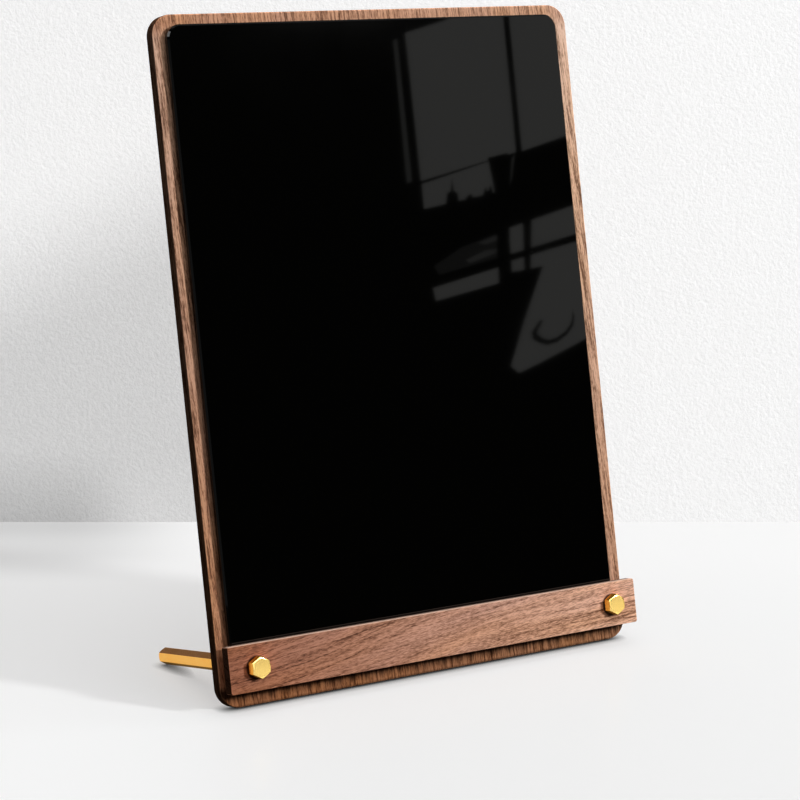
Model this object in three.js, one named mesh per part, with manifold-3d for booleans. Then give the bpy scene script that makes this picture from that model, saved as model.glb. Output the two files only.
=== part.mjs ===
// Tabletop chalkboard: a black glass writing panel on a walnut backboard. A walnut rail across the
// bottom stands off the backboard on a strip, and the glass stands in the slot behind it. Two brass
// bolts with hexagon heads clamp rail, strip and backboard, and screw into two hexagonal brass legs,
// on which the board leans back.
//
// Millimetres, +Z up. The writing side faces -Y and the legs reach to +Y. The origin is on the
// table, under the middle of the outer box. Everything is drawn first in the board's own frame:
// x to the right, y up the board from its lower edge, z out of its front face.

import * as THREE from 'three';
import { mergeVertices } from 'three/addons/utils/BufferGeometryUtils.js';
import Module from 'manifold-3d';

const wasm = await Module();
wasm.setup();

// Backboard
const boardWidth = 254;
const boardHeight = 350;
const boardThickness = 7;
const boardCornerRadius = 11;
const boardEasing = 0.8;

// Glass writing panel
const glassThickness = 4;
const glassSideMargin = 7.7;
const glassTopMargin = 5.6;
const glassCornerRadius = 7.5;
const glassBevel = 0.9;
// The glass stands loose in its slot, a little left of the middle.
const glassOffCentre = -1.5;

// Front rail
const railHeight = 24;
const railThickness = 6;
const railRise = 8.5;
const railCornerRadius = 1.2;
const railEasing = 0.5;

// Strip behind the rail, and the slot above it that the glass stands in
const stripThickness = 5.5;
const stripHeight = 14;
const stripCornerRadius = 1;
const stripEasing = 0.4;
const slotDepth = 7;

// Hexagon-headed bolts
const boltEndDistance = 16;
const shankDiameter = 5;
const shankEndChamfer = 0.6;
const shankGrip = 12;
const headAcrossFlats = 10;
const headHeight = 4.8;
const headFaceDiameter = 8.7;
const headConeDepth = 0.8;

// Hexagonal legs
const legAcrossFlats = 8;
const legLength = 83;
const legEndFaceDiameter = 7.6;
const legBoreSpare = 2;

// Fits
const seatGap = 0.3;
const boltClearance = 0.3;
const cutOverrun = 2;

// Fineness of round forms, as counts
const cornerSteps = 14;
const easingSteps = 3;
const turnSteps = 48;
const hexagonSides = 6;

// Places along the board's height and out of its front face, from the sizes above
const railTop = railRise + railHeight;
const boltLevel = railRise + railHeight / 2;
const boltOffset = boardWidth / 2 - boltEndDistance;
const stripTop = railTop - slotDepth;
const stripFront = seatGap + stripThickness;
const railBack = stripFront + seatGap;
const railFront = railBack + railThickness;
const headBack = railFront + seatGap;
const legFront = -boardThickness - seatGap;
const legEnd = legFront - legLength;
const boreRadius = shankDiameter / 2 + boltClearance;

// Glass size: as wide as its margins leave, down to its seat on the strip
const glassWidth = boardWidth - 2 * glassSideMargin;
const glassFoot = stripTop + seatGap;
const glassHeight = boardHeight - glassTopMargin - glassFoot;

const walnut = new THREE.MeshStandardMaterial({ color: 0x7a5442, roughness: 0.62, metalness: 0 });
const railWalnut = new THREE.MeshStandardMaterial({ color: 0x835a47, roughness: 0.6, metalness: 0 });
const blackGlass = new THREE.MeshStandardMaterial({ color: 0x050506, roughness: 0.06, metalness: 0 });
const brass = new THREE.MeshStandardMaterial({ color: 0xd6a64a, roughness: 0.28, metalness: 1 });

// Solids and geometries

function toSolid(geometry) {
  const bare = geometry.clone();
  bare.deleteAttribute('normal');
  bare.deleteAttribute('uv');
  const merged = mergeVertices(bare);
  return new wasm.Manifold(new wasm.Mesh({
    numProp: 3,
    vertProperties: merged.attributes.position.array,
    triVerts: new Uint32Array(merged.index.array),
  }));
}

function toGeometry(solid) {
  const mesh = solid.getMesh();
  const geometry = new THREE.BufferGeometry();
  geometry.setAttribute('position', new THREE.BufferAttribute(mesh.vertProperties, mesh.numProp));
  geometry.setIndex(new THREE.BufferAttribute(mesh.triVerts, 1));
  geometry.computeVertexNormals();
  return geometry;
}

// Outline of a plate with round corners, centred on the axis, standing on y = 0.
function plateOutline(width, height, radius) {
  const half = width / 2;
  const outline = new THREE.Shape();
  outline.moveTo(-half + radius, 0);
  outline.lineTo(half - radius, 0);
  outline.absarc(half - radius, radius, radius, -Math.PI / 2, 0);
  outline.lineTo(half, height - radius);
  outline.absarc(half - radius, height - radius, radius, 0, Math.PI / 2);
  outline.lineTo(-half + radius, height);
  outline.absarc(-half + radius, height - radius, radius, Math.PI / 2, Math.PI);
  outline.lineTo(-half, radius);
  outline.absarc(-half + radius, radius, radius, Math.PI, 3 * Math.PI / 2);
  return outline;
}

// A flat plate with round corners and eased or bevelled rims, its back face at z = 0.
function plate({ width, height, thickness, radius, rim, rimSteps }) {
  const geometry = new THREE.ExtrudeGeometry(plateOutline(width, height, radius), {
    depth: thickness - 2 * rim,
    bevelEnabled: true,
    bevelThickness: rim,
    bevelSize: rim,
    bevelOffset: -rim,
    bevelSegments: rimSteps,
    curveSegments: cornerSteps,
  });
  return geometry.translate(0, 0, rim);
}

// A round body along z from a profile of [radius, z] points that starts and ends on the axis.
function turned(profile) {
  const points = profile.map(([radius, z]) => new THREE.Vector2(radius, z));
  return new THREE.LatheGeometry(points, turnSteps).rotateX(Math.PI / 2);
}

// A hexagonal prism along z from z = 0, with two corners up and down the board.
function hexagonPrism(acrossFlats, length) {
  const cornerRadius = acrossFlats / Math.sqrt(3);
  const prism = new THREE.CylinderGeometry(cornerRadius, cornerRadius, length, hexagonSides);
  return prism.rotateX(Math.PI / 2).translate(0, 0, length / 2);
}

// Sets a plate's lower edge at foot and its back at back, and bores the two bolt holes through it.
function drilled(blank, thickness, foot, back) {
  let solid = toSolid(blank.translate(0, foot, back));
  for (const side of [-1, 1]) {
    const hole = turned([
      [0, back - cutOverrun],
      [boreRadius, back - cutOverrun],
      [boreRadius, back + thickness + cutOverrun],
      [0, back + thickness + cutOverrun],
    ]);
    solid = solid.subtract(toSolid(hole.translate(side * boltOffset, boltLevel, 0)));
  }
  return toGeometry(solid);
}

// Pieces

function backboardGeometry() {
  const blank = plate({
    width: boardWidth,
    height: boardHeight,
    thickness: boardThickness,
    radius: boardCornerRadius,
    rim: boardEasing,
    rimSteps: easingSteps,
  });
  return drilled(blank, boardThickness, 0, -boardThickness);
}

function glassGeometry() {
  const panel = plate({
    width: glassWidth,
    height: glassHeight,
    thickness: glassThickness,
    radius: glassCornerRadius,
    rim: glassBevel,
    rimSteps: 1,
  });
  return panel.translate(glassOffCentre, glassFoot, seatGap);
}

function railGeometry() {
  const blank = plate({
    width: boardWidth,
    height: railHeight,
    thickness: railThickness,
    radius: railCornerRadius,
    rim: railEasing,
    rimSteps: easingSteps,
  });
  return drilled(blank, railThickness, railRise, railBack);
}

function stripGeometry() {
  const blank = plate({
    width: glassWidth,
    height: stripHeight,
    thickness: stripThickness,
    radius: stripCornerRadius,
    rim: stripEasing,
    rimSteps: 1,
  });
  return drilled(blank, stripThickness, stripTop - stripHeight, seatGap);
}

// Bolt: a hexagon head turned down by a cone to its round front face, on a plain shank that runs
// through rail, strip and backboard into the leg. Its head's underside is at z = 0.
function boltGeometry() {
  const faceRadius = headFaceDiameter / 2;
  const cornerRadius = headAcrossFlats / Math.sqrt(3);
  const shankRadius = shankDiameter / 2;
  const shankEnd = legFront - shankGrip - headBack;
  const headCone = turned([
    [0, -cutOverrun],
    [cornerRadius + cutOverrun, -cutOverrun],
    [cornerRadius + cutOverrun, headHeight - headConeDepth],
    [cornerRadius, headHeight - headConeDepth],
    [faceRadius, headHeight],
    [0, headHeight],
  ]);
  const shank = turned([
    [0, shankEnd],
    [shankRadius - shankEndChamfer, shankEnd],
    [shankRadius, shankEnd + shankEndChamfer],
    [shankRadius, headHeight / 2],
    [0, headHeight / 2],
  ]);
  const head = toSolid(hexagonPrism(headAcrossFlats, headHeight)).intersect(toSolid(headCone));
  return toGeometry(head.add(toSolid(shank)));
}

// Leg: a hexagonal rod with both ends turned down by a short cone, bored from its front end for the
// bolt. Its free end is at z = 0.
function legGeometry() {
  const cornerRadius = legAcrossFlats / Math.sqrt(3);
  const faceRadius = legEndFaceDiameter / 2;
  const coneDepth = cornerRadius - faceRadius;
  const endCones = turned([
    [0, 0],
    [faceRadius, 0],
    [cornerRadius, coneDepth],
    [cornerRadius, legLength - coneDepth],
    [faceRadius, legLength],
    [0, legLength],
  ]);
  const bore = turned([
    [0, legLength - shankGrip - legBoreSpare],
    [boreRadius, legLength - shankGrip - legBoreSpare],
    [boreRadius, legLength + cutOverrun],
    [0, legLength + cutOverrun],
  ]);
  const rod = toSolid(hexagonPrism(legAcrossFlats, legLength)).intersect(toSolid(endCones));
  return toGeometry(rod.subtract(toSolid(bore)));
}

// Lean: with the backboard's lower rear edge and the lower corner of each leg's free end both on the
// table. The rear edge is eased, so it rolls on its rounding.
function leanAngle() {
  const cornerRadius = legAcrossFlats / Math.sqrt(3);
  const coneDepth = cornerRadius - legEndFaceDiameter / 2;
  const rise = boltLevel - cornerRadius - boardEasing;
  const reach = seatGap + legLength - coneDepth + boardEasing;
  return Math.atan2(rise, reach) + Math.asin(boardEasing / Math.hypot(rise, reach));
}

// Assembly

function piece(name, geometry, material) {
  const mesh = new THREE.Mesh(geometry, material);
  mesh.name = name;
  return mesh;
}

const board = new THREE.Group();
board.add(piece('backboard', backboardGeometry(), walnut));
board.add(piece('chalkboard_glass', glassGeometry(), blackGlass));
board.add(piece('front_rail', railGeometry(), railWalnut));
board.add(piece('ledge_strip', stripGeometry(), walnut));

for (const [sideName, side] of [['left', -1], ['right', 1]]) {
  const bolt = piece(`hex_bolt_${sideName}`, boltGeometry(), brass);
  bolt.position.set(side * boltOffset, boltLevel, headBack);
  board.add(bolt);
  const leg = piece(`leg_${sideName}`, legGeometry(), brass);
  leg.position.set(side * boltOffset, boltLevel, legEnd);
  board.add(leg);
}

// Stand the board up, leaning back onto its legs.
board.rotation.x = Math.PI / 2 - leanAngle();

// Set it down on the table with the origin under the middle of its outer box.
const chalkboard = new THREE.Group();
chalkboard.add(board);
const outerBox = new THREE.Box3().setFromObject(chalkboard, true);
const boxCentre = outerBox.getCenter(new THREE.Vector3());
board.position.set(-boxCentre.x, -boxCentre.y, -outerBox.min.z);

export default chalkboard;
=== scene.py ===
# Tabletop chalkboard: looks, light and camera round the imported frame. Metres, in the CAD's frame.

import math

import bmesh
import bpy
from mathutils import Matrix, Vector


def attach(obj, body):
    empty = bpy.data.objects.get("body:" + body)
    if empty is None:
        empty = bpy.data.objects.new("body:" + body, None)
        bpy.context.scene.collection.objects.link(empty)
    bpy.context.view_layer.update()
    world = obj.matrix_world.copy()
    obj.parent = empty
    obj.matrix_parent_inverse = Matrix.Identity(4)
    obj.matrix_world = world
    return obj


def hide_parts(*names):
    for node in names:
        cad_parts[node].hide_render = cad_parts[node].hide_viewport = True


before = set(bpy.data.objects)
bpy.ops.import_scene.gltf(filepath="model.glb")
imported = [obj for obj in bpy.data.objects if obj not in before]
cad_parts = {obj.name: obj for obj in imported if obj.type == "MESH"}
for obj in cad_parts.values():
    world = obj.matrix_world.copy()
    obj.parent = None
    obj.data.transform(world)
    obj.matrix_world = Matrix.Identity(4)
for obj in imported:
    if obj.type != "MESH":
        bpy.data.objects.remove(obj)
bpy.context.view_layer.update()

# The board's own frame: x to the right, y up the board from its lower edge, z out of its front.
LEAN = math.radians(10.805909)
BOARD_UP = Vector((0, math.sin(LEAN), math.cos(LEAN)))
BOARD_OUT = Vector((0, -math.cos(LEAN), math.sin(LEAN)))
BOARD_ORIGIN = Vector((0, -0.0396937, 0.00117658))
BOARD_HALF_WIDTH = 0.127
BOARD_HEIGHT = 0.350
BOARD_THICKNESS = 0.007
BOARD_MIDDLE = Vector((0, 0, 0.15))
BOARD_FOOT = Vector((0, 0, 0.03))
GLASS_FRONT = 0.0043
RAIL_MIDDLE = 0.0205
RAIL_HALF_HEIGHT = 0.012
BOLT_OFFSET = 0.111
BOLT_LEVEL = RAIL_MIDDLE

# Three cuts of walnut. Deep and pale are the ends of the range of colour. Gradient says how pale
# the front is at the middle of its foot, how much that grows to the right and up the board, and
# how much it falls along the top edge. The growth to the right and up is painted light: paler
# where more light and sheen fall. Heart is the tree's heart, across and in depth, and drift how
# far it moves per metre of length. Spacing is the rings' width, sway how far they wander, and
# slant how far the fibres run sideways. Ripples, streaks and lines say how strong each of these
# is in the tone.
BOARD_WALNUT = {
    "deep": (147, 87, 48), "pale": (189, 151, 123), "gradient": (0.37, 0.13, 0.50, 0.38),
    "crosswise": False, "heart": (0.02, -0.075), "drift": (0.02, -0.09), "spacing": 0.0030,
    "sway": 0.006, "slant": 0.05, "ripples": 0.24, "streaks": 0.82, "lines": 0.40,
}
RAIL_WALNUT = {
    "deep": (138, 85, 59), "pale": (198, 151, 123), "gradient": (0.5, 0.5, 0.0, 0.0),
    "crosswise": True, "heart": (-0.055, -0.03), "drift": (0.12, 0.0), "spacing": 0.0034,
    "sway": 0.008, "slant": -0.10, "ripples": 0.14, "streaks": 0.33, "lines": 0.42,
}
STRIP_WALNUT = {
    "deep": (125, 82, 56), "pale": (170, 124, 92), "gradient": (0.3, 0.2, 0.0, 0.0),
    "crosswise": True, "heart": (0.05, -0.06), "drift": (0.03, 0.05), "spacing": 0.0030,
    "sway": 0.004, "slant": 0.0, "ripples": 0.25, "streaks": 0.3, "lines": 0.3,
}

# How fine the wood's patterns are, per metre across the grain, along it and in depth
BROAD_SWAY_GRAIN = (13, 4.5, 13)
FINE_SWAY_GRAIN = (95, 26, 95)
WANDER_GRAIN = (16, 4, 16)
LATE_PATCH_GRAIN = (55, 11, 55)
BROKEN_LINE_GRAIN = (50, 11, 50)
BAND_GRAIN = (34, 5, 34)
RIPPLE_GRAIN = (1250, 150, 1250)
STREAK_GRAIN = (900, 38, 900)
FIBRE_GRAIN = (1800, 330, 1800)
PORE_GRAIN = (1500, 130, 1500)

# How the wood's tone becomes a shade, and its bands a warmer or cooler hue. How much late wood and
# pores darken it, how pale it is off the front, and how much oiled and cut wood mirror.
SHADE_STOPS = ((0.12, (0.17, 0.14, 0.12, 1)), (0.54, (0.5, 0.5, 0.5, 1)),
               (0.95, (0.76, 0.82, 0.87, 1)))
HUE_STOPS = ((0.34, (0.95, 0.97, 1.08, 1)), (0.66, (1.04, 1.01, 0.95, 1)))
LATE_WOOD_DEPTH = 0.24
PORE_SHADE = 0.5
HIDDEN_PALENESS = 0.4
OILED_SHEEN = 0.07
CUT_SHEEN = 0.0

# Painted shade and highlights, mostly as tones that the wood's colour is multiplied by: shade on
# the board's front behind and below the rail, highlights on the rail's rims, its dark end grain
# also in shade, shade round the bolts and by the slot, and on the hidden strip
BEHIND_RAIL_SHADE = 0.85
FOOT_TINT = (1.0, 0.89, 0.74)
FOOT_DEEP_TONE = 0.09
FOOT_PALE_TONE = 0.86
RIM_HIGHLIGHT_GAIN = 1.4
RIM_HIGHLIGHT_COLOUR = (242, 205, 184)
END_GRAIN_AND_SHADE_TONE = 0.22
SLOT_SHADE_TONE = 0.25
BOLT_SHADOW_TONE = 0.10
STRIP_SHADE_TONE = 0.8
STRIP_DULLNESS = 0.7

# Layers of the board's cut sides: shares of its thickness from either face, and their tones
PLY_LAYERS = ((0.0, 0.80), (0.12, 0.80), (0.17, 0.34), (0.22, 0.44), (0.36, 0.56), (0.41, 0.34),
              (0.45, 0.5))

# Brass from its deep to its pale tone, the painted reflections tinted onto the bolts' flats and
# the legs' tops, painted shade on flats facing down, and how fine its marks are, per metre
BOLT_BRASS = ((0.94, 0.63, 0.17, 1), (0.99, 0.70, 0.215, 1))
LEG_BRASS = ((0.93, 0.48, 0.11, 1), (1.0, 0.60, 0.18, 1))
GRAZING_BRASS = (1.0, 0.68, 0.42, 1.0)
FLANK_REFLECTION_TINT = (1.0, 0.62, 0.3, 1.0)
LEG_TOP_REFLECTION_TINT = (1.0, 0.95, 1.8, 1.0)
FLANK_LEAN = 0.5
UNDERSIDE_SHADE_TONE = 0.25
BRASS_CLOUDS = (120, 120, 120)
BRASS_SCRATCHES = (1900, 500, 1900)
TURNING_MARKS = (2600, 1, 1)
DRAWING_MARKS = (3200, 3200, 45)

# Black glass, and the clouds and faint specks in its polish, per metre
GLASS_BLACK = (0.0007, 0.0007, 0.0006, 1)
GLASS_SPECK = (0.003, 0.003, 0.0028, 1)
GLASS_INDEX = 1.5
GLASS_CLOUDS = (18, 18, 18)
GLASS_SPECKS = (700, 700, 700)

# Finer forms: roundings of the sharp edges, and the angles that tell flat, round and sharp apart
WELD = 0.000002
FLAT_ANGLE = math.radians(0.3)
SHARP_ANGLE = math.radians(34)
ROUNDING_STEPS = 3
ROUNDINGS = {
    "hex_bolt_left": 0.00016, "hex_bolt_right": 0.00016, "leg_left": 0.00018, "leg_right": 0.00018,
    "chalkboard_glass": 0.00012, "backboard": 0.0, "front_rail": 0.0, "ledge_strip": 0.0,
}

# Camera, from a fit to the board's edges in the photograph
PHOTO_SIZE = 800
SENSOR = 36
LENS = 116.04
CAMERA_PLACE = Vector((-0.71864, -1.13563, 0.39726))
CAMERA_YAW = math.radians(32.471)
CAMERA_PITCH = math.radians(10.807)
WALL_LINE_ROW = 522

# Stage: the light that table and wall give of themselves, how far the wall stands from the camera
# and the window from the glass, and how bright the parts of the window are
TABLE_GLOW = 0.405
TABLE_MIRROR = 0.04
TABLE_TONE = 0.52
TABLE_BOUNCE_TONE = 0.16
CONTACT_REACH = 0.006
WALL_GLOW = 0.635
WALL_TONE = 0.5
PLASTER_GRAIN = (420, 420, 420)
WALL_DISTANCE = 1.652
WINDOW_DISTANCE = 2.6
WINDOW_LEVEL = 0.5
DIM_SHARE = 0.5
FAINT_SHARE = 0.16
DIM_NEARER = 0.005
BAR_NEARER = 0.01
STAGE_REACH = 6.0
WALL_HEIGHT = 3.0

# The window's reflection in the glass, as corners in pixels of the photograph
WINDOW_PANES = {
    "pane_wide": [(405, 33), (445, 20), (470, 5), (502, 5), (516, 152), (421, 181)],
    "pane_right": [(508, 5), (600, 5), (600, 124), (522, 151)],
    "pane_sill": [(422, 184), (490, 161), (496, 192), (424, 209)],
    "table_far": [(509, 228), (600, 196), (600, 255), (512, 272)],
    "table_edge": [(433, 288), (500, 267), (499, 283), (436, 301)],
    "table_near": [(532, 254), (600, 232), (600, 331), (540, 363), (519, 373), (511, 366),
                   (524, 322), (543, 266)],
}
DIM_PANES = {
    "pane_side": [(393, 40), (397, 38), (412, 181), (407, 183)],
    "pot_glint": [(512, 158), (515, 153), (512, 178), (510, 186)],
    "paper_near": [(466, 260), (486, 250), (497, 249), (496, 253), (470, 263)],
    "paper_far": [(478, 243), (499, 234), (500, 239), (486, 244)],
}
FAINT_PANES = {
    "table_clutter": [(434, 266), (462, 247), (499, 233), (500, 259), (440, 277)],
}
WINDOW_BARS = {
    "bottle": [(446, 204), (447, 193), (451, 190), (452, 177), (454, 190), (458, 193), (459, 201)],
    "sill_things": [(464, 202), (467, 196), (471, 193), (474, 197), (479, 195), (482, 197),
                    (486, 186), (488, 191), (491, 184), (494, 194), (497, 193)],
    "pot": [(488, 157), (508, 152), (505, 194), (496, 196)],
    "leg_left": [(497, 230), (503, 228), (504, 282), (499, 283)],
    "leg_middle": [(506, 228), (510, 226), (510, 280), (507, 281)],
    "leg_right": [(523, 220), (532, 218), (531, 275), (525, 277)],
    "table_line": [(431, 277), (503, 256), (600, 226), (600, 234), (503, 263), (431, 286)],
    "chair_rim": [(541, 319), (532, 332), (533, 339), (540, 343), (548, 345), (558, 342),
                  (568, 334), (574, 325), (575, 316), (573, 309), (573, 317), (571, 324),
                  (566, 331), (558, 337), (549, 340), (543, 338), (538, 334), (538, 331),
                  (543, 321)],
}


# Camera

def camera_axes():
    """Forward, right and up of the camera."""
    level = Vector((math.sin(CAMERA_YAW), math.cos(CAMERA_YAW), 0))
    forward = level * math.cos(CAMERA_PITCH) - Vector((0, 0, math.sin(CAMERA_PITCH)))
    right = Vector((math.cos(CAMERA_YAW), -math.sin(CAMERA_YAW), 0))
    return forward, right, right.cross(forward)


def pixel_ray(column, row):
    """Direction from the camera through a pixel of the photograph."""
    forward, right, up = camera_axes()
    focal = LENS / SENSOR * PHOTO_SIZE
    across = (column - PHOTO_SIZE / 2) / focal
    down = (row - PHOTO_SIZE / 2) / focal
    return (forward + right * across - up * down).normalized()


def make_camera():
    """The photograph's camera."""
    data = bpy.data.cameras.new("camera")
    data.sensor_width = SENSOR
    data.lens = LENS
    data.clip_start = 0.01
    data.clip_end = 50
    camera = bpy.data.objects.new("camera", data)
    bpy.context.scene.collection.objects.link(camera)
    camera.location = CAMERA_PLACE
    camera.rotation_euler = (math.pi / 2 - CAMERA_PITCH, 0, -CAMERA_YAW)
    bpy.context.scene.camera = camera


# Shader nodes

class Graph:
    """The node tree of a material or world, filled by short calls."""

    def __init__(self, tree):
        self.tree = tree
        tree.nodes.clear()

    def node(self, kind, inputs=None, **settings):
        made = self.tree.nodes.new(kind)
        for name, value in settings.items():
            setattr(made, name, value)
        for name, value in (inputs or {}).items():
            self.feed(made.inputs[name], value)
        return made

    def feed(self, socket, value):
        if isinstance(value, bpy.types.NodeSocket):
            self.tree.links.new(value, socket)
        elif isinstance(value, tuple) and socket.type == "VECTOR":
            socket.default_value = value[:3]
        else:
            socket.default_value = value

    def math(self, operation, first, second=0.0, clamp=False):
        """A calculation with two values, or with one where the second is None."""
        inputs = {0: first} if second is None else {0: first, 1: second}
        return self.node("ShaderNodeMath", inputs, operation=operation, use_clamp=clamp).outputs[0]

    def plus(self, first, second):
        return self.math("ADD", first, second)

    def minus(self, first, second):
        return self.math("SUBTRACT", first, second)

    def times(self, first, second):
        return self.math("MULTIPLY", first, second)

    def absolute(self, value):
        return self.math("ABSOLUTE", value, None)

    def vector(self, operation, first, second):
        made = self.node("ShaderNodeVectorMath", {0: first, 1: second}, operation=operation)
        return made.outputs["Value" if operation == "DOT_PRODUCT" else "Vector"]

    def length(self, vector):
        made = self.node("ShaderNodeVectorMath", {0: vector}, operation="LENGTH")
        return made.outputs["Value"]

    def scaled(self, colour, factor):
        made = self.node("ShaderNodeVectorMath", {0: colour, 3: factor}, operation="SCALE")
        return made.outputs["Vector"]

    def parts(self, place):
        """The three parts of a vector."""
        return self.node("ShaderNodeSeparateXYZ", {"Vector": place}).outputs

    def joined(self, x, y, z):
        return self.node("ShaderNodeCombineXYZ", {"X": x, "Y": y, "Z": z}).outputs["Vector"]

    def noise(self, place, scale, detail=2.0, roughness=0.5, distortion=0.0):
        """Noise of about 0 to 1 with its own scale along each axis."""
        stretched = self.vector("MULTIPLY", place, scale)
        inputs = {"Vector": stretched, "Scale": 1.0, "Detail": detail, "Roughness": roughness,
                  "Distortion": distortion}
        return self.node("ShaderNodeTexNoise", inputs).outputs["Fac"]

    def span(self, value, low, high, to_low=0.0, to_high=1.0, smooth=False):
        """The value's range low to high brought to the range to_low to to_high."""
        inputs = {"Value": value, "From Min": low, "From Max": high, "To Min": to_low,
                  "To Max": to_high}
        kind = "SMOOTHSTEP" if smooth else "LINEAR"
        return self.node("ShaderNodeMapRange", inputs, interpolation_type=kind).outputs["Result"]

    def ramp(self, value, stops):
        """The value turned into colours, through stops of a place and its colour."""
        made = self.node("ShaderNodeValToRGB", {"Fac": value})
        elements = made.color_ramp.elements
        while len(elements) < len(stops):
            elements.new(0.5)
        for element, (place, colour) in zip(elements, stops):
            element.position = place
            element.color = colour
        return made.outputs["Color"]

    def blend(self, factor, first, second):
        """The first colour where the factor is 0, the second where it is 1."""
        made = self.node("ShaderNodeMix", data_type="RGBA")
        self.feed(made.inputs[0], factor)
        self.feed(made.inputs[6], first)
        self.feed(made.inputs[7], second)
        return made.outputs[2]

    def object_place(self):
        return self.node("ShaderNodeTexCoord").outputs["Object"]

    def turned(self, place, turn):
        return self.node("ShaderNodeMapping", {"Vector": place, "Rotation": turn}).outputs["Vector"]

    def board_place(self):
        """Place on the object in the board's frame."""
        moved = self.vector("SUBTRACT", self.object_place(), tuple(BOARD_ORIGIN))
        return self.turned(moved, (LEAN - math.pi / 2, 0, 0))

    def facing(self, direction):
        """How squarely the surface faces a direction, from -1 to 1."""
        normal = self.node("ShaderNodeTexCoord").outputs["Normal"]
        return self.vector("DOT_PRODUCT", normal, tuple(direction))


def rgb(red, green, blue):
    """A colour written as 0 to 255 in sRGB, as the linear values that sockets take."""
    def linear(level):
        level /= 255
        return level / 12.92 if level <= 0.04045 else ((level + 0.055) / 1.055) ** 2.4
    return linear(red), linear(green), linear(blue), 1.0


def grey(level):
    return level, level, level, 1.0


def new_material(name):
    material = bpy.data.materials.new(name)
    material.use_nodes = True
    return material, Graph(material.node_tree)


def surface(graph, shader):
    graph.node("ShaderNodeOutputMaterial", {"Surface": shader})


# Wood

def along_grain(graph, crosswise):
    """The board's frame with y along the grain: as it is, or swapped for a piece laid crosswise."""
    place = graph.board_place()
    if not crosswise:
        return place
    parts = graph.parts(place)
    return graph.joined(parts["Y"], parts["X"], parts["Z"])


def skewed_place(graph, place, slant):
    """Place with the fibres run sideways by the slant as they go along."""
    parts = graph.parts(place)
    across = graph.plus(parts["X"], graph.times(parts["Y"], slant))
    return graph.joined(across, parts["Y"], parts["Z"])


def ring_place(graph, place, cut):
    """Place in the tree: x the distance from its heart, y along the grain, z round the heart.

    The heart runs nearly along the grain, and drifts sideways and in depth as it goes, which makes
    the pointed arches of a flat sawn face."""
    sway = cut["sway"]
    broad = graph.noise(place, BROAD_SWAY_GRAIN, detail=1.5)
    fine = graph.noise(place, FINE_SWAY_GRAIN, detail=2.0)
    parts = graph.parts(place)
    along = parts["Y"]
    offsets = []
    for part, heart, drift in zip(("X", "Z"), cut["heart"], cut["drift"]):
        offset = graph.minus(parts[part], heart)
        offsets.append(graph.minus(offset, graph.times(along, drift)))
    distance = graph.length(graph.joined(offsets[0], 0.0, offsets[1]))
    swayed = graph.plus(distance, graph.span(broad, 0.2, 0.8, -sway, sway))
    swayed = graph.plus(swayed, graph.span(fine, 0.2, 0.8, -sway / 8, sway / 8))
    return graph.joined(swayed, along, graph.times(parts["X"], 0.3))


def late_wood(graph, place, rings, spacing):
    """How dark the late wood of every other growth ring or so is, in patches, 0 to 1."""
    wander = graph.noise(place, WANDER_GRAIN, detail=1.0)
    count = graph.math("DIVIDE", graph.parts(rings)["X"], spacing * 1.6)
    share = graph.math("FRACT", graph.plus(count, graph.times(wander, 4.0)), None)
    late = graph.times(graph.math("POWER", share, 3.0), graph.span(share, 0.84, 1.0, 1.0, 0.0))
    patch = graph.noise(place, LATE_PATCH_GRAIN, detail=1.5)
    return graph.times(late, graph.span(patch, 0.40, 0.62, 0.1, 1.0))


def mineral_lines(graph, place, rings, spacing):
    """How dark the thin broken lines along the grain are, 0 to 1."""
    lines = graph.times(graph.noise(rings, (0.34 / spacing, 3.0, 8), detail=1.0), 5.0)
    share = graph.minus(graph.math("FRACT", lines, None), 0.5)
    line = graph.span(graph.absolute(share), 0.0, 0.10, 1.0, 0.0, smooth=True)
    broken = graph.span(graph.noise(place, BROKEN_LINE_GRAIN, detail=1.0), 0.40, 0.60)
    return graph.times(line, broken)


def wood_pores(graph, place, growth):
    """Short dark pores, most of them in the early wood, 0 to 1."""
    cells = graph.vector("MULTIPLY", place, PORE_GRAIN)
    cell = graph.node("ShaderNodeTexVoronoi", {"Vector": cells, "Scale": 1.0})
    pore = graph.span(cell.outputs["Distance"], 0.10, 0.30, 1.0, 0.0, smooth=True)
    return graph.times(pore, graph.span(growth, 0.36, 0.58, 1.0, 0.15))


class Grain:
    """The patterns of one cut of wood, as values over its surface."""

    def __init__(self, graph, cut):
        spacing = cut["spacing"]
        place = along_grain(graph, cut["crosswise"])
        rings = ring_place(graph, place, cut)
        skewed = skewed_place(graph, place, cut["slant"])
        self.late = late_wood(graph, place, rings, spacing)
        self.line = mineral_lines(graph, place, rings, spacing)
        self.growth = graph.noise(rings, (1 / spacing, 3.0, 12), detail=4.0, roughness=0.6)
        self.hue = graph.noise(rings, (0.25 / spacing, 6.0, 12), detail=2.0)
        self.band = graph.noise(place, BAND_GRAIN, detail=2.0, roughness=0.6)
        self.ripple = graph.noise(skewed, RIPPLE_GRAIN, detail=2.0, roughness=0.55, distortion=0.4)
        self.streak = graph.noise(skewed, STREAK_GRAIN, detail=2.0, roughness=0.6)
        self.fibre = graph.noise(skewed, FIBRE_GRAIN, detail=2.0, roughness=0.7)
        self.pore = wood_pores(graph, place, self.growth)


def paleness(graph, base, across, up, top):
    """How far the front runs from its deep tone to its pale one, to the right and up the board,
    as painted light: paler where more light and sheen fall.

    Along the board's top edge it falls back again."""
    parts = graph.parts(graph.board_place())
    share = graph.plus(graph.times(parts["X"], across / BOARD_HALF_WIDTH), base)
    share = graph.plus(share, graph.times(parts["Y"], up / BOARD_HEIGHT))
    edge = graph.span(parts["Y"], BOARD_HEIGHT - 0.014, BOARD_HEIGHT - 0.004, 0.0, top, smooth=True)
    share = graph.math("SUBTRACT", share, edge, clamp=True)
    front = graph.span(graph.facing(BOARD_OUT), -0.2, 0.2)
    return graph.blend(front, grey(HIDDEN_PALENESS), share)


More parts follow.
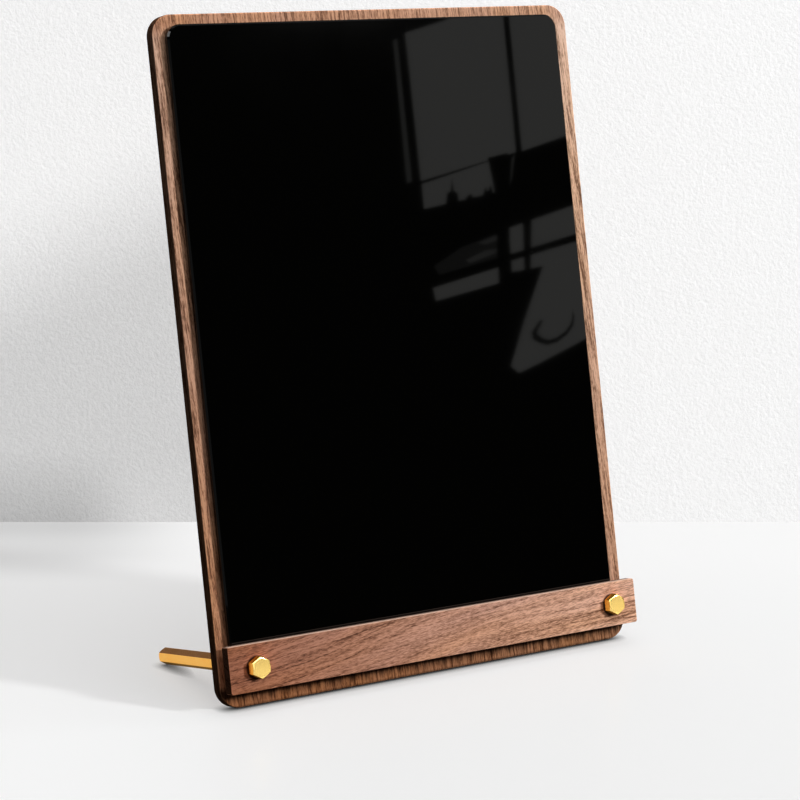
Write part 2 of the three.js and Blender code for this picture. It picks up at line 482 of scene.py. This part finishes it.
def wood_tone(graph, cut, grain):
    """The tone that all patterns add up to, 0 to 1, with 0.5 or so in the middle."""
    tone = graph.span(grain.growth, 0.32, 0.68, -0.03, 0.31)
    for pattern, low, high, to_low, to_high in (
            (grain.band, 0.3, 0.7, 0.0, 0.14),
            (grain.ripple, 0.35, 0.65, 0.0, cut["ripples"]),
            (grain.streak, 0.35, 0.65, 0.0, cut["streaks"]),
            (grain.fibre, 0.35, 0.65, -0.12, 0.46)):
        tone = graph.plus(tone, graph.span(pattern, low, high, to_low, to_high))
    tone = graph.minus(tone, graph.times(grain.late, LATE_WOOD_DEPTH))
    tone = graph.minus(tone, graph.times(grain.line, cut["lines"]))
    return graph.plus(tone, 0.30 - (cut["ripples"] + cut["streaks"]) / 2)


def wood_colour(graph, cut, grain):
    """The cut's deep to pale colour, shaded by its tone, a little warmer or cooler, with pores."""
    shade = graph.ramp(wood_tone(graph, cut, grain), SHADE_STOPS)
    hue = graph.ramp(grain.hue, HUE_STOPS)
    colour = graph.blend(paleness(graph, *cut["gradient"]), rgb(*cut["deep"]), rgb(*cut["pale"]))
    colour = graph.vector("MULTIPLY", colour, hue)
    colour = graph.scaled(graph.vector("MULTIPLY", colour, shade), 2.0)
    return graph.scaled(colour, graph.span(grain.pore, 0.0, 1.0, 1.0, PORE_SHADE))


def wood(name, cut, sheen, finish_edges):
    """Oiled walnut: growth rings, dark lines, ripples, fibres and pores that follow the grain.

    The finish of its edges changes the colour, and says how dull it is."""
    material, graph = new_material(name)
    grain = Grain(graph, cut)
    colour, dull = finish_edges(graph, wood_colour(graph, cut, grain))

    height = graph.plus(graph.times(grain.fibre, 0.6), graph.times(grain.ripple, 0.5))
    height = graph.minus(height, graph.times(grain.pore, 0.9))
    bump = graph.node("ShaderNodeBump", {"Height": height, "Strength": 0.6, "Distance": 0.00008})
    gloss = graph.span(grain.ripple, 0.25, 0.75, 0.50, 0.60)
    gloss = graph.plus(gloss, graph.times(grain.pore, 0.2))
    gloss = graph.math("MAXIMUM", gloss, dull)
    sawn = graph.span(graph.absolute(graph.facing(BOARD_UP)), 0.3, 0.7)
    shader = graph.node("ShaderNodeBsdfPrincipled", {
        "Base Color": colour, "Roughness": graph.math("MAXIMUM", gloss, sawn),
        "Normal": bump.outputs["Normal"], "Specular IOR Level": sheen,
    })
    surface(graph, shader.outputs["BSDF"])
    return material


def ply_colour(graph, colour, parts):
    """The board's cut sides: face veneers, thin joints and a paler core, all darkened by painted
    shade, darkest near the foot.
    """
    layers = [(share, grey(tone)) for share, tone in PLY_LAYERS]
    layers += [(1 - share, tone) for share, tone in reversed(layers)]
    depth = graph.math("DIVIDE", parts["Z"], -BOARD_THICKNESS)
    cut = graph.vector("MULTIPLY", colour, graph.ramp(depth, layers))
    return graph.scaled(cut, graph.span(parts["Y"], 0.0, BOARD_HEIGHT, 0.36, 0.75))


def foot_shade(graph, parts):
    """Painted shade on the board's front below the rail: dark close under it in patches,
    brown lower down, and darker again along the bottom edge.
    """
    patch = graph.noise(graph.joined(parts["X"], 0.0, 0.0), (230, 1, 1), detail=4.0, roughness=0.7)
    level = graph.plus(parts["Y"], graph.span(patch, 0.3, 0.7, -0.0026, 0.0026))
    shade = graph.span(level, 0.0010, 0.0068, FOOT_PALE_TONE, FOOT_DEEP_TONE, smooth=True)
    shade = graph.times(shade, graph.span(parts["Y"], 0.0002, 0.0014, 0.35, 1.0))
    return graph.scaled(FOOT_TINT, shade)


def board_edges(graph, colour):
    """The board's cut sides, and a painted highlight that makes its front rim pale.

    Its front is darker with painted shade, and dull, where the rail stands over it."""
    parts = graph.parts(graph.board_place())
    front = graph.facing(BOARD_OUT)
    ahead = graph.span(front, 0.3, 0.7)
    # Painted shade: darker behind the rail, and below it through foot_shade
    above = graph.span(parts["Y"], 0.024, 0.036, BEHIND_RAIL_SHADE, 1.0, smooth=True)
    below = graph.span(parts["Y"], 0.009, 0.012, 1.0, 0.0)
    shade = graph.blend(below, above, foot_shade(graph, parts))
    # Painted highlight along the front rim
    shade = graph.scaled(shade, graph.span(front, 0.90, 0.985, 1.6, 1.0))
    faces = graph.vector("MULTIPLY", colour, graph.blend(ahead, grey(1.0), shade))
    side = graph.span(graph.absolute(front), 0.30, 0.72, 1.0, 0.0, smooth=True)
    return graph.blend(side, faces, ply_colour(graph, colour, parts)), graph.times(below, ahead)


def rail_edges(graph, colour):
    """The rail's rims pale with a painted highlight, and its dark end grain in painted shade.

    Painted shadow lies round the bolts and by the slot.
    """
    parts = graph.parts(graph.board_place())
    aside = graph.absolute(parts["X"])
    level = graph.minus(parts["Y"], RAIL_MIDDLE)
    # Painted highlight: the rims at the ends and foot paler, the top rim paler still
    side_rim = graph.span(aside, BOARD_HALF_WIDTH - 0.0009, BOARD_HALF_WIDTH - 0.0002)
    low_rim = graph.span(level, 0.0007 - RAIL_HALF_HEIGHT, 0.0001 - RAIL_HALF_HEIGHT, 1.0, 0.0)
    top_rim = graph.span(level, RAIL_HALF_HEIGHT - 0.00025, RAIL_HALF_HEIGHT - 0.0001)
    rim_highlight = graph.math("MAXIMUM", side_rim, graph.span(low_rim, 1.0, 0.0))
    front = graph.scaled(colour, graph.span(rim_highlight, 0.0, 1.0, 1.0, RIM_HIGHLIGHT_GAIN))
    front = graph.blend(graph.times(top_rim, 0.7), front, rgb(*RIM_HIGHLIGHT_COLOUR))
    # Painted shade on the back of the top rim, by the slot
    slot = graph.times(top_rim, graph.span(parts["Z"], 0.0080, 0.0108, 1.0, 0.0))
    front = graph.scaled(front, graph.span(slot, 0.0, 1.0, 1.0, SLOT_SHADE_TONE))
    # Painted shadow round each bolt, its ring moved left and down like a cast shadow
    radius = bolt_radius(graph, parts, left=0.0003, down=0.0003)
    bolt_shadow = graph.span(radius, 0.0056, 0.0067, 1.0, 0.0, smooth=True)
    front = graph.scaled(front, graph.span(bolt_shadow, 0.0, 1.0, 1.0, BOLT_SHADOW_TONE))
    # The ends are dark end grain, darkened further by painted shade
    end = graph.span(graph.absolute(graph.facing((1, 0, 0))), 0.55, 0.9, smooth=True)
    return graph.blend(end, front, graph.scaled(colour, END_GRAIN_AND_SHADE_TONE)), bolt_shadow


def strip_edges(graph, colour):
    """The strip lies deep in its slot, darker by painted shade, and half dull."""
    return graph.scaled(colour, STRIP_SHADE_TONE), STRIP_DULLNESS


# Brass

def bolt_radius(graph, parts, left=0.0, down=0.0):
    """Distance in the board's frame from the nearer bolt's middle line, moved left and down."""
    side = graph.times(graph.math("SIGN", parts["X"], None), BOLT_OFFSET)
    across = graph.plus(graph.minus(parts["X"], side), left)
    up = graph.minus(parts["Y"], BOLT_LEVEL - down)
    return graph.length(graph.joined(across, up, 0.0))


def flank_of_bolt(graph):
    """1 on the flats of a bolt's head, 0 on its face and cone."""
    return graph.span(graph.absolute(graph.facing(BOARD_OUT)), 0.1, 0.4, 1.0, 0.0)


def leaned_normal(graph, share, lean):
    """The surface's normal, leaned to the board's front where the share is 1."""
    normal = graph.node("ShaderNodeTexCoord").outputs["Normal"]
    outward = graph.scaled(tuple(BOARD_OUT), graph.times(share, lean))
    leaned = graph.vector("ADD", normal, outward)
    made = graph.node("ShaderNodeVectorMath", {0: leaned}, operation="NORMALIZE")
    return made.outputs["Vector"]


def brass(name, deep, pale, marks_of, finish):
    """Satin brass with fine marks and scratches, and painted shade, flat and dark, where it faces
    down the board.

    The finish gives a tint, and a leaned normal or None."""
    material, graph = new_material(name)
    place = graph.board_place()
    cloud = graph.noise(place, BRASS_CLOUDS, detail=2.0)
    marks = marks_of(graph, place)
    scratch = graph.noise(place, BRASS_SCRATCHES, detail=4.0, roughness=0.7)
    shade = graph.plus(graph.times(marks, 0.6), graph.times(cloud, 0.4))
    colour = graph.ramp(shade, [(0.3, deep), (0.7, pale)])
    # Painted shade: flats facing down the board are dark, as if mirroring the shaded table
    below = graph.span(graph.facing(-BOARD_UP), 0.6, 0.8)
    colour = graph.scaled(colour, graph.span(below, 0.0, 1.0, 1.0, UNDERSIDE_SHADE_TONE))
    gloss = graph.span(marks, 0.25, 0.75, 0.19, 0.22)
    gloss = graph.plus(gloss, graph.span(cloud, 0.3, 0.7, -0.005, 0.01))
    gloss = graph.math("MAXIMUM", gloss, graph.times(below, 0.8))
    height = graph.plus(marks, graph.times(scratch, 0.3))
    bump = graph.node("ShaderNodeBump", {"Height": height, "Strength": 0.08, "Distance": 0.00002})
    tint, normal = finish(graph)
    colour = graph.vector("MULTIPLY", colour, tint)
    if normal is not None:
        graph.feed(bump.inputs["Normal"], normal)
    shader = graph.node("ShaderNodeBsdfPrincipled", {
        "Base Color": colour, "Metallic": 1.0, "Roughness": gloss, "Normal": bump.outputs["Normal"],
        "Specular Tint": GRAZING_BRASS,
    })
    surface(graph, shader.outputs["BSDF"])
    return material


def turning_marks(graph, place):
    """Rings round the bolt's face."""
    radius = bolt_radius(graph, graph.parts(place))
    rings = graph.joined(radius, 0.0, 0.0)
    return graph.noise(rings, TURNING_MARKS, detail=2.0, roughness=0.6)


def drawing_marks(graph, place):
    """Lines along the leg."""
    return graph.noise(place, DRAWING_MARKS, detail=3.0, roughness=0.65)


def bolt_finish(graph):
    """The flats of the head are tinted deeper, a painted reflection of the warm wood beside
    them, and lean a little to the front.
    """
    flank = flank_of_bolt(graph)
    return graph.blend(flank, grey(1.0), FLANK_REFLECTION_TINT), leaned_normal(graph, flank, FLANK_LEAN)


def leg_finish(graph):
    """The flats on top are a little browner, a painted reflection of the shaded wall behind."""
    above = graph.span(graph.facing(BOARD_UP), 0.2, 0.4)
    return graph.blend(above, grey(1.0), LEG_TOP_REFLECTION_TINT), None


# Glass

def black_glass():
    """Polished glass, black all through, with a breath of unevenness in its polish."""
    material, graph = new_material("black_glass")
    place = graph.board_place()
    cloud = graph.noise(place, GLASS_CLOUDS, detail=3.0)
    speck = graph.noise(place, GLASS_SPECKS, detail=2.0)
    gloss = graph.span(cloud, 0.3, 0.7, 0.018, 0.026)
    gloss = graph.plus(gloss, graph.span(speck, 0.7, 0.9, 0.0, 0.06))
    colour = graph.blend(graph.span(speck, 0.72, 0.9), GLASS_BLACK, GLASS_SPECK)
    bump = graph.node("ShaderNodeBump", {"Height": cloud, "Strength": 0.03, "Distance": 0.0001})
    shader = graph.node("ShaderNodeBsdfPrincipled", {
        "Base Color": colour, "Roughness": gloss, "Normal": bump.outputs["Normal"],
        "IOR": GLASS_INDEX,
    })
    surface(graph, shader.outputs["BSDF"])
    return material


# Pieces

def finer(node, finish, cut_finish, cut_sides):
    """A copy of a CAD node with smooth round forms and softened edges, which stands for it.

    Where a finish is given for its cut sides, the faces that look that way take it."""
    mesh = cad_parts[node].data.copy()
    mesh.attributes.remove(mesh.attributes["custom_normal"])
    form = bmesh.new()
    form.from_mesh(mesh)
    bmesh.ops.remove_doubles(form, verts=form.verts, dist=WELD)
    bmesh.ops.dissolve_limit(form, angle_limit=FLAT_ANGLE, verts=form.verts, edges=form.edges)
    form.to_mesh(mesh)
    form.free()
    mesh.materials.clear()
    mesh.materials.append(finish)
    if cut_finish:
        mesh.materials.append(cut_finish)
        for face in mesh.polygons:
            face.material_index = int(cut_sides(face.normal))
    mesh.shade_smooth()
    mesh.set_sharp_from_angle(angle=SHARP_ANGLE)
    made = bpy.data.objects.new(node + "_finished", mesh)
    bpy.context.scene.collection.objects.link(made)
    if ROUNDINGS[node]:
        ease = made.modifiers.new("ease", "BEVEL")
        ease.width = ROUNDINGS[node]
        ease.segments = ROUNDING_STEPS
        ease.limit_method = "ANGLE"
        ease.angle_limit = SHARP_ANGLE
        ease.harden_normals = True
    even = made.modifiers.new("even", "WEIGHTED_NORMAL")
    even.keep_sharp = True
    return made


def board_side(normal):
    """Whether a face is one of the board's cut sides."""
    return abs(normal.dot(BOARD_OUT)) < 0.5


def rail_end(normal):
    """Whether a face is one of the rail's two ends."""
    return abs(normal.x) > 0.7


def dress():
    """Gives each CAD node its finer form and its finish."""
    walnut = wood("walnut_upright", BOARD_WALNUT, OILED_SHEEN, board_edges)
    walnut_side = wood("walnut_upright_cut", BOARD_WALNUT, CUT_SHEEN, board_edges)
    rail = wood("walnut_crosswise", RAIL_WALNUT, OILED_SHEEN, rail_edges)
    rail_cut = wood("walnut_crosswise_cut", RAIL_WALNUT, CUT_SHEEN, rail_edges)
    strip = wood("walnut_strip", STRIP_WALNUT, OILED_SHEEN, strip_edges)
    bolt = brass("brass_turned", *BOLT_BRASS, turning_marks, bolt_finish)
    leg = brass("brass_drawn", *LEG_BRASS, drawing_marks, leg_finish)
    glass = black_glass()
    for node, finish, cut_finish, cut_sides, body, slot in (
            ("backboard", walnut, walnut_side, board_side, "stand", "walnut"),
            ("front_rail", rail, rail_cut, rail_end, "stand", "rail_walnut"),
            ("ledge_strip", strip, None, None, "stand", "walnut"),
            ("chalkboard_glass", glass, None, None, "glass", "black_glass"),
            ("hex_bolt_left", bolt, None, None, "stand", "brass"),
            ("hex_bolt_right", bolt, None, None, "stand", "brass"),
            ("leg_left", leg, None, None, "stand", "brass"),
            ("leg_right", leg, None, None, "stand", "brass")):
        piece = finer(node, finish, cut_finish, cut_sides)
        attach(piece, body)
        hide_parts(node)
        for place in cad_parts[node].material_slots:
            place.material = finish


# Stage

def stage_place(graph):
    """Place seen in line with the photograph's camera: x to its right, y away from it, z up."""
    below_camera = (CAMERA_PLACE.x, CAMERA_PLACE.y, 0.0)
    moved = graph.vector("SUBTRACT", graph.object_place(), below_camera)
    return graph.parts(graph.turned(moved, (0, 0, CAMERA_YAW)))


def shown_ray(graph):
    """1 for a ray that shows the stage itself: from the camera, or in a reflection or glass."""
    path = graph.node("ShaderNodeLightPath")
    shown = graph.math("ADD", path.outputs["Is Camera Ray"], path.outputs["Is Glossy Ray"])
    return graph.math("ADD", shown, path.outputs["Is Transmission Ray"], clamp=True)


def mirrored_ray(graph):
    """1 for a ray in a reflection or glass."""
    rays = graph.node("ShaderNodeLightPath").outputs
    return graph.math("ADD", rays["Is Glossy Ray"], rays["Is Transmission Ray"], clamp=True)


def sheet_object(name, corners, material):
    """A flat shape that belongs to the stage."""
    data = bpy.data.meshes.new(name)
    data.from_pydata([tuple(corner) for corner in corners], [], [tuple(range(len(corners)))])
    data.materials.append(material)
    made = bpy.data.objects.new(name, data)
    bpy.context.scene.collection.objects.link(made)
    return made


def table_corner_shadow(graph, line):
    """How far painted shadow darkens the table where it meets the wall, on the left of the
    photograph.
    """
    wall = WALL_DISTANCE
    broad = graph.span(line["Y"], wall - 0.16, wall - 0.08, 0.0, 0.26, smooth=True)
    tight = graph.span(line["Y"], wall - 0.06, wall - 0.01, 0.0, 0.09, smooth=True)
    left = graph.span(line["X"], -0.22, -0.11, 1.0, 0.0, smooth=True)
    return graph.times(graph.plus(broad, tight), left)


def table_level(graph, place, reach):
    """How bright the table is. In reflections it ends in a dark room, not far off the object."""
    mirrored = graph.span(reach, 0.30, 0.75, 1.0, 0.04, smooth=True)
    mirrored = graph.times(mirrored, graph.span(graph.parts(place)["Y"], 0.0, 0.04, 1.0, 1.3))
    line = stage_place(graph)
    seen = graph.span(line["X"], -0.20, 0.0, 1.055, 0.985, smooth=True)
    level = graph.blend(mirrored_ray(graph), seen, mirrored)
    return graph.times(level, graph.minus(1.0, table_corner_shadow(graph, line)))


def table_material():
    """Pale sealed top with a faint reflection. Its light comes half from the lamps, half its own.

    Close under the object painted contact shade from ambient occlusion darkens it, and far
    off it is white."""
    material, graph = new_material("stage_table")
    place = graph.object_place()
    shown = shown_ray(graph)
    reach = graph.length(place)
    level = table_level(graph, place, reach)
    nearness = graph.node("ShaderNodeAmbientOcclusion", {"Distance": CONTACT_REACH}, samples=8)
    contact = nearness.outputs["AO"]
    glow = graph.times(graph.times(shown, contact), graph.times(level, TABLE_GLOW))
    far = graph.times(graph.node("ShaderNodeLightPath").outputs["Is Camera Ray"],
                      graph.span(reach, 0.8, 3.0, 0.0, 0.6, smooth=True))
    glow = graph.plus(glow, far)
    tone = graph.blend(shown, grey(TABLE_BOUNCE_TONE), grey(TABLE_TONE))
    tone = graph.scaled(tone, graph.times(level, contact))
    matt = graph.node("ShaderNodeBsdfDiffuse", {"Color": tone})
    own = graph.node("ShaderNodeEmission", {"Color": grey(1.0), "Strength": glow})
    lit = graph.node("ShaderNodeAddShader", {0: matt.outputs[0], 1: own.outputs[0]})
    cloud = graph.noise(place, (3, 3, 3), detail=2.0)
    roughness = graph.span(cloud, 0.3, 0.7, 0.16, 0.26)
    gloss = graph.node("ShaderNodeBsdfGlossy", {"Color": grey(1.0), "Roughness": roughness})
    layers = {0: TABLE_MIRROR, 1: lit.outputs[0], 2: gloss.outputs[0]}
    both = graph.node("ShaderNodeMixShader", layers)
    surface(graph, both.outputs[0])
    return material


def wall_shade(graph):
    """The wall's tone, with a soft shadow low on the left. In reflections it is dark high up."""
    line = stage_place(graph)
    slope = graph.times(graph.plus(line["X"], 0.21), 0.5)
    low = graph.span(graph.minus(line["Z"], slope), 0.125, 0.245, 1.0, 0.0, smooth=True)
    left = graph.span(line["X"], -0.13, 0.05, 1.0, 0.0, smooth=True)
    foot = graph.span(line["Z"], 0.0, 0.05, 0.18, 0.0)
    corner = graph.times(foot, graph.span(line["X"], -0.22, -0.165, 1.0, -0.3, smooth=True))
    shadow = graph.times(graph.times(low, left), 0.285)
    shadow = graph.plus(shadow, graph.times(corner, left))
    mirrored = graph.span(line["Z"], 0.02, 0.08, 1.0, 0.16, smooth=True)
    return graph.blend(mirrored_ray(graph), graph.minus(1.0, shadow), mirrored)


def wall_material():
    """Fine plaster, seen from its front only. Its light comes half from the lamps, half its own."""
    material, graph = new_material("stage_wall")
    plaster = graph.noise(graph.object_place(), PLASTER_GRAIN, detail=4.0, roughness=0.65)
    bump = graph.node("ShaderNodeBump", {"Height": plaster, "Strength": 0.9, "Distance": 0.0009})
    shade = wall_shade(graph)
    tone = graph.scaled(grey(WALL_TONE), shade)
    front = graph.node("ShaderNodeBsdfDiffuse", {"Color": tone, "Normal": bump.outputs["Normal"]})
    grain = graph.span(plaster, 0.3, 0.7, WALL_GLOW - 0.04, WALL_GLOW + 0.04)
    glow = graph.times(graph.times(shown_ray(graph), grain), shade)
    own = graph.node("ShaderNodeEmission", {"Color": grey(1.0), "Strength": glow})
    lit = graph.node("ShaderNodeAddShader", {0: front.outputs[0], 1: own.outputs[0]})
    clear = graph.node("ShaderNodeBsdfTransparent")
    back = graph.node("ShaderNodeNewGeometry").outputs["Backfacing"]
    both = graph.node("ShaderNodeMixShader", {0: back, 1: lit.outputs[0], 2: clear.outputs[0]})
    surface(graph, both.outputs[0])
    return material


def make_stage():
    """A pale table, and a pale wall whose foot lies on its row of the photograph."""
    signs = ((-1, -1), (1, -1), (1, 1), (-1, 1))
    table = [Vector((x * STAGE_REACH, y * STAGE_REACH, 0)) for x, y in signs]
    sheet_object("table", table, table_material())
    foot_ray = pixel_ray(PHOTO_SIZE / 2, WALL_LINE_ROW)
    foot = CAMERA_PLACE + foot_ray * (-CAMERA_PLACE.z / foot_ray.z)
    across = Vector((math.cos(CAMERA_YAW), -math.sin(CAMERA_YAW), 0)) * STAGE_REACH
    top = Vector((0, 0, WALL_HEIGHT))
    corners = [foot - across, foot + across, foot + across + top, foot - across + top]
    wall = sheet_object("wall", corners, wall_material())
    wall.visible_shadow = False
    wall.visible_diffuse = False


# The window that the glass reflects

def mirrored_place(column, row):
    """Where a ray through this pixel, mirrored by the glass, meets the window's upright plane."""
    ray = pixel_ray(column, row)
    face = BOARD_ORIGIN + BOARD_OUT * GLASS_FRONT
    met = CAMERA_PLACE + ray * ((face - CAMERA_PLACE).dot(BOARD_OUT) / ray.dot(BOARD_OUT))
    onward = ray - BOARD_OUT * (2 * ray.dot(BOARD_OUT))
    middle = pixel_ray(PHOTO_SIZE / 2, PHOTO_SIZE / 2)
    facing = (middle - BOARD_OUT * (2 * middle.dot(BOARD_OUT))).normalized()
    return met + onward * ((WINDOW_DISTANCE - (met - face).dot(facing)) / onward.dot(facing))


def window_sheet(name, pixels, material, nearer=0.0):
    """A flat shape in the window's plane, or nearer to the board by a share of the way."""
    corners = []
    for column, row in pixels:
        place = mirrored_place(column, row)
        corners.append(place + (BOARD_MIDDLE - place) * nearer)
    made = sheet_object(name, corners, material)
    made.visible_camera = False
    made.visible_diffuse = False
    made.visible_shadow = False
    made.visible_transmission = False


def glow_material(name, level):
    """One flat tone of light, which isn't sampled as a lamp."""
    material, graph = new_material(name)
    colour = (level, level, 0.97 * level, 1)
    own = graph.node("ShaderNodeEmission", {"Color": colour, "Strength": 1.0})
    surface(graph, own.outputs[0])
    material.cycles.emission_sampling = "NONE"
    return material


def make_window():
    """A window and a sunlit table top in the dark room, which only reflections show."""
    bright = glow_material("stage_window", WINDOW_LEVEL)
    dim = glow_material("stage_window_dim", WINDOW_LEVEL * DIM_SHARE)
    faint = glow_material("stage_window_faint", WINDOW_LEVEL * FAINT_SHARE)
    dark = glow_material("stage_window_bar", 0.0)
    for name, pixels in WINDOW_PANES.items():
        window_sheet(name, pixels, bright)
    for name, pixels in FAINT_PANES.items():
        window_sheet(name, pixels, faint)
    for name, pixels in DIM_PANES.items():
        window_sheet(name, pixels, dim, nearer=DIM_NEARER)
    for name, pixels in WINDOW_BARS.items():
        window_sheet(name, pixels, dark, nearer=BAR_NEARER)


# Light

def lamp(name, place, target, power, width, height):
    """A rectangular lamp that the camera doesn't see."""
    data = bpy.data.lights.new(name, "AREA")
    data.shape = "RECTANGLE"
    data.size = width
    data.size_y = height
    data.energy = power
    made = bpy.data.objects.new(name, data)
    bpy.context.scene.collection.objects.link(made)
    made.location = place
    made.rotation_mode = "QUATERNION"
    made.rotation_quaternion = (Vector(target) - Vector(place)).to_track_quat("-Z", "Y")
    made.visible_camera = False
    return made


def card(name, place, target, power, width, height, pieces=None):
    """A lamp that only reflections show, on all pieces or on a group of them."""
    made = lamp(name, place, target, power, width, height)
    made.visible_diffuse = False
    made.light_linking.receiver_collection = pieces


def aimed(azimuth, elevation, distance):
    """A place at a distance from the board's middle. Azimuth 0 is in front, 90 to the right."""
    turn = math.radians(azimuth)
    rise = math.radians(elevation)
    level = Vector((math.sin(turn), -math.cos(turn), 0)) * math.cos(rise)
    return BOARD_MIDDLE + (level + Vector((0, 0, math.sin(rise)))) * distance


def group(name, pieces):
    """Pieces that a lamp is kept to."""
    made = bpy.data.collections.new(name)
    for piece in pieces:
        made.objects.link(piece)
    return made


def both_sides(kind):
    """The finished left and right piece of a kind."""
    return [bpy.data.objects[kind + side + "_finished"] for side in ("_left", "_right")]


def make_light():
    """Soft daylight from the front right, a weak light from behind, and cards for the brass.

    The key would glint on the legs, so they do without it."""
    meshes = [thing for thing in bpy.context.scene.objects if thing.type == "MESH"]
    others = [mesh for mesh in meshes if not mesh.name.startswith("leg_")]
    key = lamp("key", aimed(34, 21.5, 8.0), BOARD_MIDDLE, 450, 0.8, 0.8)
    key.light_linking.receiver_collection = group("all_but_legs", others)
    lamp("right", aimed(66, 16, 0.9), BOARD_MIDDLE, 0.6, 0.4, 0.4)
    lamp("right_top", aimed(78, 33, 1.6), BOARD_MIDDLE, 1.5, 0.4, 0.4)
    front_top = lamp("front_top", aimed(5, 47, 1.6), BOARD_MIDDLE, 5.4, 1.6, 0.7)
    front_top.visible_glossy = False
    top = lamp("top", (0.15, -0.1, 2.0), (0, 0, 0), 17.5, 2.2, 2.2)
    top.visible_glossy = False
    rear = lamp("rear", aimed(160, 35, 2.0), BOARD_MIDDLE, 15, 1.0, 1.0)
    rear.data.use_shadow = False
    bolts = group("bolts", both_sides("hex_bolt"))
    card("front_low_card", aimed(32, -3.5, 1.6), BOARD_FOOT, 0.66, 1.3, 0.11, bolts)
    card("front_top_card", aimed(-5, 42, 1.6), BOARD_FOOT, 20, 1.5, 0.85, bolts)
    card("middle_card", aimed(2, 14, 1.5), BOARD_FOOT, 2.7, 0.66, 1.1, bolts)
    card("left_card", aimed(-27, 15, 1.5), BOARD_FOOT, 4.2, 0.9, 1.15, bolts)
    legs = group("legs", both_sides("leg"))
    card("legs_card", (0, -0.35, 0.3), (0, 0, 0.3), 1.6, 1.4, 0.6, legs)
    card("left_faint", aimed(-60, 7, 1.5), BOARD_MIDDLE, 0.08, 0.35, 0.6)
    card("left_glint", aimed(-70, 46, 1.5), BOARD_MIDDLE, 1.3, 0.2, 0.8)


def make_world():
    """White to the camera, faint light on the object, and in reflections dark in front of it."""
    world = bpy.data.worlds.new("world")
    bpy.context.scene.world = world
    world.use_nodes = True
    graph = Graph(world.node_tree)
    direction = graph.node("ShaderNodeTexCoord").outputs["Generated"]
    behind = graph.span(graph.parts(direction)["Y"], -0.15, 0.35, 0.001, 0.9, smooth=True)
    level = graph.span(mirrored_ray(graph), 0.0, 1.0, 0.03, behind)
    camera_ray = graph.node("ShaderNodeLightPath").outputs["Is Camera Ray"]
    level = graph.math("MAXIMUM", level, camera_ray)
    back = graph.node("ShaderNodeBackground", {"Color": grey(1.0), "Strength": level})
    graph.node("ShaderNodeOutputWorld", {"Surface": back.outputs["Background"]})


make_camera()
make_world()
make_stage()
make_window()
dress()
make_light()

bpy.context.scene.view_settings.view_transform = "Standard"
